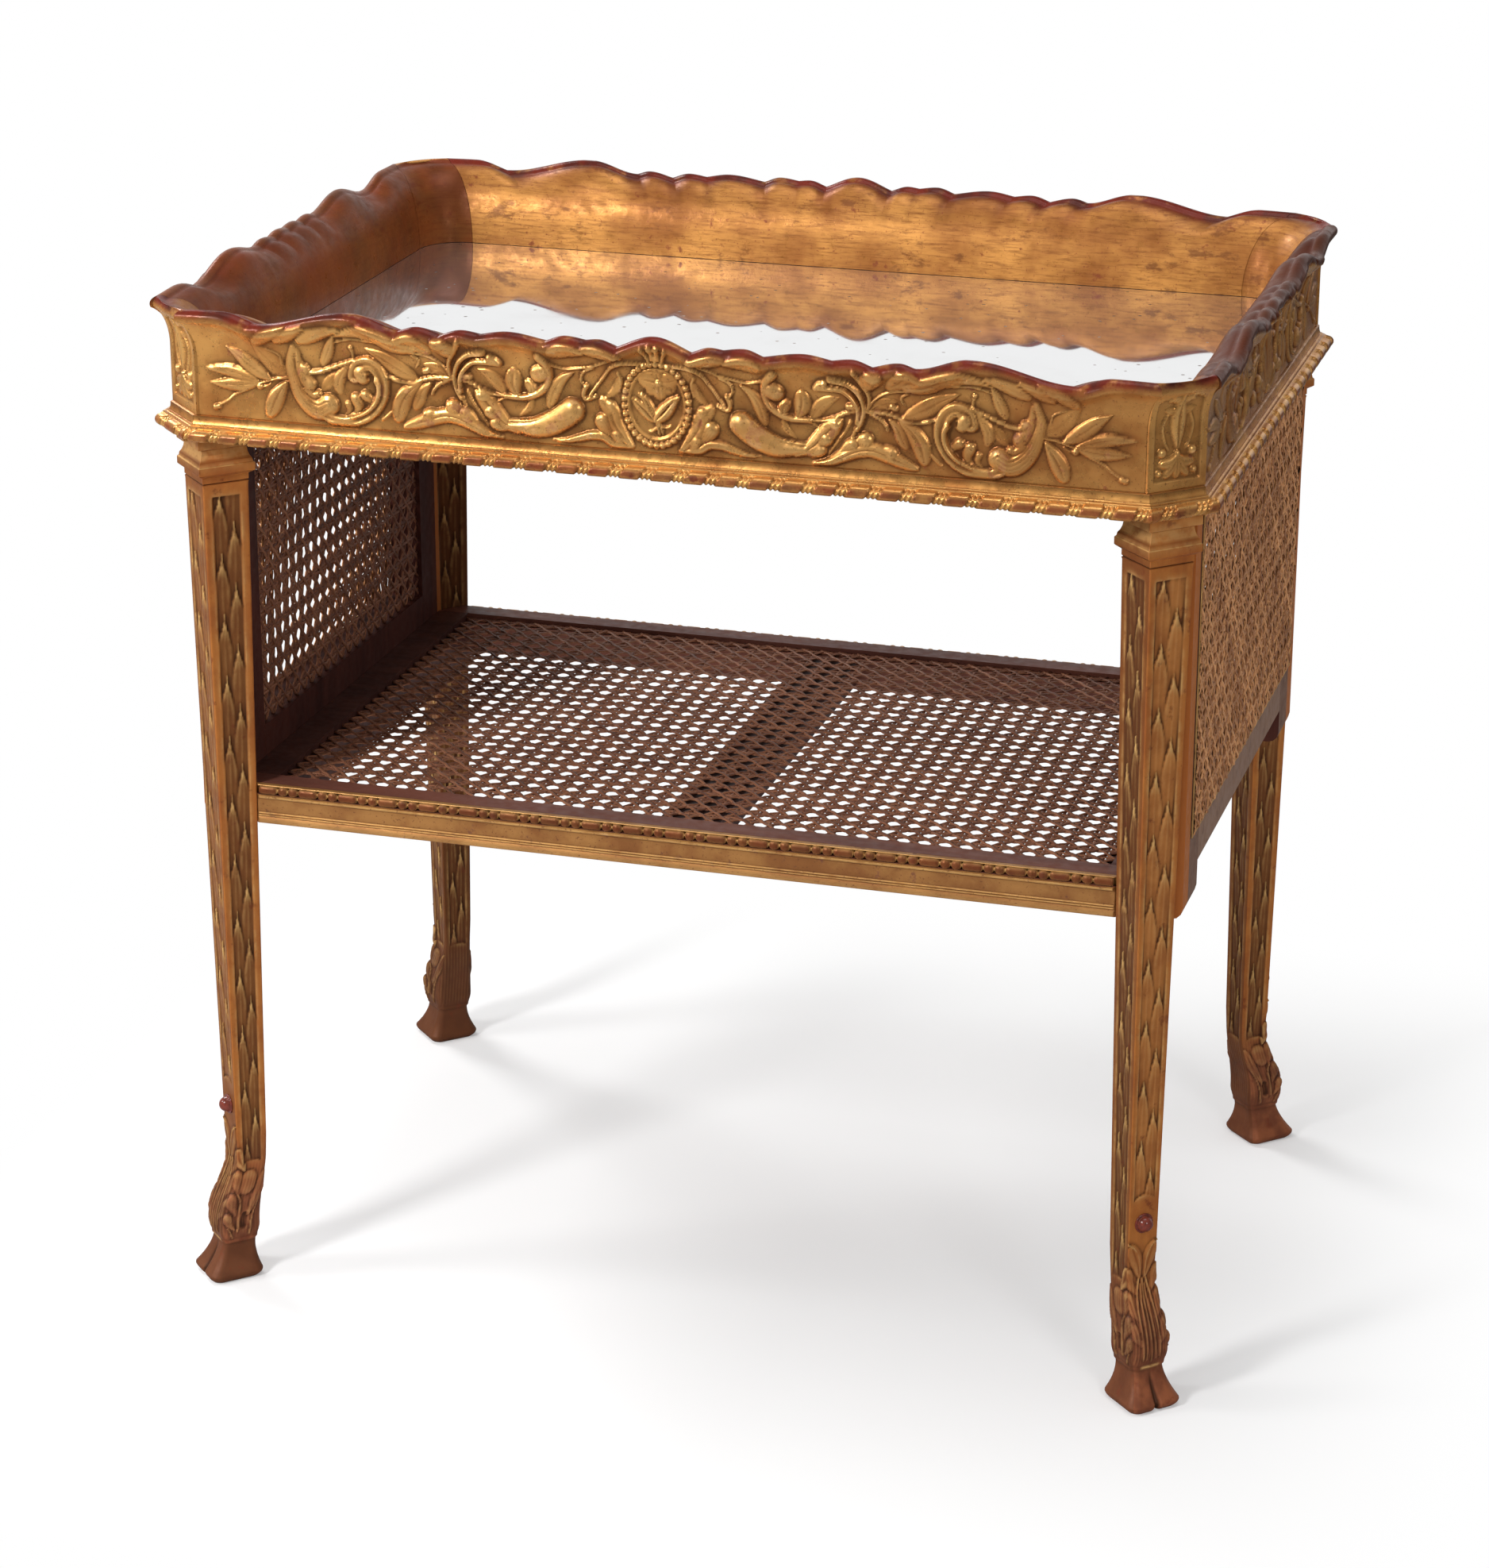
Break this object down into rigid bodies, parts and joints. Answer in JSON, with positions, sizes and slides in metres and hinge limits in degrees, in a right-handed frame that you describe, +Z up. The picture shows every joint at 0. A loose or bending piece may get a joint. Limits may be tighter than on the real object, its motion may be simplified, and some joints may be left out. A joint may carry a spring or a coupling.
{
  "type": "serving table",
  "caption": "Gilded serving table: a scalloped mirror-floored tray on tapered carved legs with hoof feet, caned end panels and a low caned shelf.",
  "frame": {"origin": "on the floor, under the middle of the tray", "axes": "+Z up, +X along the tray to the right as seen from the front, +Y to the back"},
  "size_m": [0.7776, 0.5456, 0.7735],
  "materials": {
    "gilded_wood": "carved and water gilded over red bole, rubbed",
    "worn_gilding": "carved and gilded, worn to orange-brown",
    "dark_wood": "dark brown stain, satin",
    "cane": "six-way woven cane, stained brown",
    "mirror": "antiqued silvered glass with small dark specks",
    "red_lacquer": "polished red cabochon"
  },
  "bodies": {
    "root": {"base_corner_bl": "gilded_wood", "base_corner_br": "gilded_wood", "base_corner_fl": "gilded_wood", "base_corner_fr": "gilded_wood", "base_moulding_back": "gilded_wood", "base_moulding_front": "gilded_wood", "base_moulding_left": "gilded_wood", "base_moulding_right": "gilded_wood", "gallery_corner_bl": "gilded_wood", "gallery_corner_br": "gilded_wood", "gallery_corner_fl": "gilded_wood", "gallery_corner_fr": "gilded_wood", "gallery_rail_back": "gilded_wood", "gallery_rail_front": "gilded_wood", "gallery_rail_left": "gilded_wood", "gallery_rail_right": "gilded_wood", "leg_bl": "worn_gilding", "leg_boss_bl": "red_lacquer", "leg_boss_br": "red_lacquer", "leg_boss_fl": "red_lacquer", "leg_boss_fr": "red_lacquer", "leg_br": "worn_gilding", "leg_fl": "worn_gilding", "leg_fr": "worn_gilding", "mirror_plate": "mirror", "panel_cane_left_inner": "cane", "panel_cane_left_outer": "cane", "panel_cane_right_inner": "cane", "panel_cane_right_outer": "cane", "panel_rail_left_bottom": "dark_wood", "panel_rail_left_top": "dark_wood", "panel_rail_right_bottom": "dark_wood", "panel_rail_right_top": "dark_wood", "panel_stile_left_back": "dark_wood", "panel_stile_left_front": "dark_wood", "panel_stile_right_back": "dark_wood", "panel_stile_right_front": "dark_wood", "shelf_bead_back": "worn_gilding", "shelf_bead_front": "worn_gilding", "shelf_cane": "cane", "shelf_rail_back": "worn_gilding", "shelf_rail_front": "worn_gilding", "shelf_side_rail_left": "dark_wood", "shelf_side_rail_right": "dark_wood", "shelf_stretcher": "dark_wood", "tray_board": "dark_wood"}
  },
  "joints": []
}
